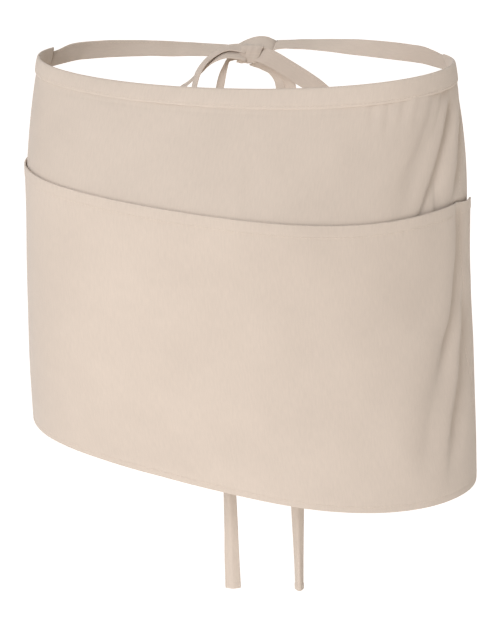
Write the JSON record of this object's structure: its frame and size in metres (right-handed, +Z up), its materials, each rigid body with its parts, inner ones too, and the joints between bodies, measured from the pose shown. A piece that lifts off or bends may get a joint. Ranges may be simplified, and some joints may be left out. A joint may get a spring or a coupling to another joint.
{
  "type": "waist apron",
  "caption": "Plain cream cotton waist apron, worn and tied, with a deep patch pocket across its front and a bow at the back.",
  "frame": {"origin": "middle of the waist opening, at the height of the waistband's top edge at the sides", "axes": "+Z up, -Y towards the front of the wearer, +X to the right of the picture, which is the wearer's left"},
  "size_m": [0.3387, 0.2529, 0.4546],
  "materials": {
    "panel_cotton": "matte woven cotton",
    "pocket_cotton": "matte woven cotton",
    "band_tape": "matte cotton tape",
    "tie_tape": "matte cotton tape"
  },
  "bodies": {
    "root": {"apron_panel": "panel_cotton", "pocket_panel": "pocket_cotton", "waistband": "band_tape", "tie_left": "tie_tape", "tie_right": "tie_tape", "knot": "tie_tape", "bow_loop_left": "tie_tape", "bow_loop_right": "tie_tape", "tie_end_left": "tie_tape", "tie_end_right": "tie_tape"}
  },
  "joints": []
}
